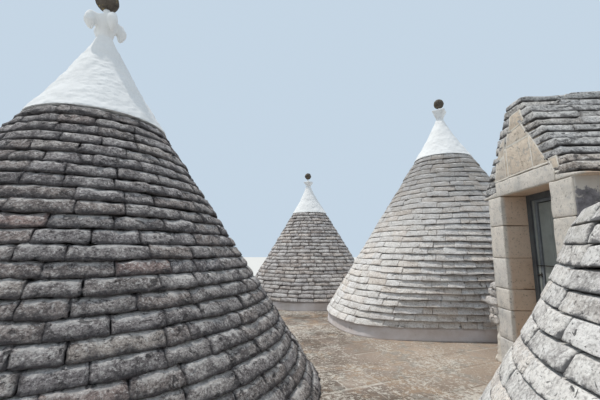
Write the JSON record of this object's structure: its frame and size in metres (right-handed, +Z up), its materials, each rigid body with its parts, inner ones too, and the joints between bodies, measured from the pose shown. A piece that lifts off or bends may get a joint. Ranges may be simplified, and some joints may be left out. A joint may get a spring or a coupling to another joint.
{
  "type": "trullo house",
  "caption": "Single-storey stone trullo house: flat paved terrace, dry-stone cones with whitewashed tips and stone balls, gabled stair head with a door.",
  "frame": {"origin": "middle of the building's footprint, at ground level", "axes": "+Z up, -Y out of the entrance front, +X along the stair head's ridge"},
  "size_m": [12.74, 15.84, 8.7011],
  "materials": {
    "limewash": "matt limewash, brushed, with a few stains",
    "dark_stone": "rough split limestone, weathered dark with pale lichen",
    "grey_stone": "rough split limestone, weathered grey beige",
    "pale_stone": "rough split limestone, pale grey with black pits",
    "ashlar": "dressed tan limestone, lightly weathered",
    "ball_stone": "grey brown stone with lichen",
    "paving": "worn ochre limestone flags with pale joints",
    "painted_timber": "grey green paint, weathered",
    "iron": "black, slightly rusty",
    "pane": "clear glazing"
  },
  "bodies": {
    "root": {"back_cone_ball": "ball_stone", "back_cone_band": "limewash", "back_cone_cap": "limewash", "back_cone_courses": "grey_stone", "back_wall": "limewash", "entrance_frame": "painted_timber", "entrance_jambs": "ashlar", "entrance_latch": "iron", "entrance_leaf": "painted_timber", "entrance_lintel": "ashlar", "entrance_threshold": "ashlar", "floor_slab": "paving", "front_wall": "limewash", "left_cone_ball": "ball_stone", "left_cone_cap": "limewash", "left_cone_courses": "dark_stone", "left_wall": "limewash", "near_cone_ball": "ball_stone", "near_cone_band": "limewash", "near_cone_cap": "limewash", "near_cone_courses": "pale_stone", "right_cone_ball": "ball_stone", "right_cone_band": "limewash", "right_cone_cap": "limewash", "right_cone_courses": "grey_stone", "right_wall": "limewash", "room_piers": "limewash", "stair_head_far_roof": "grey_stone", "stair_head_gable": "ashlar", "stair_head_jambs": "ashlar", "stair_head_kneelers": "ashlar", "stair_head_lintel": "ashlar", "stair_head_near_roof": "grey_stone", "stair_head_rear_gable": "limewash", "stair_head_ridge": "grey_stone", "stair_head_side_walls": "limewash", "stair_head_threshold": "ashlar", "terrace_coping": "paving", "terrace_door_frame": "painted_timber", "terrace_door_latch": "iron", "terrace_door_leaf": "painted_timber", "terrace_slab": "paving", "window_frames": "painted_timber", "window_jambs": "ashlar", "window_lintels": "ashlar", "window_panes": "pane", "window_sills": "ashlar"}
  },
  "joints": []
}
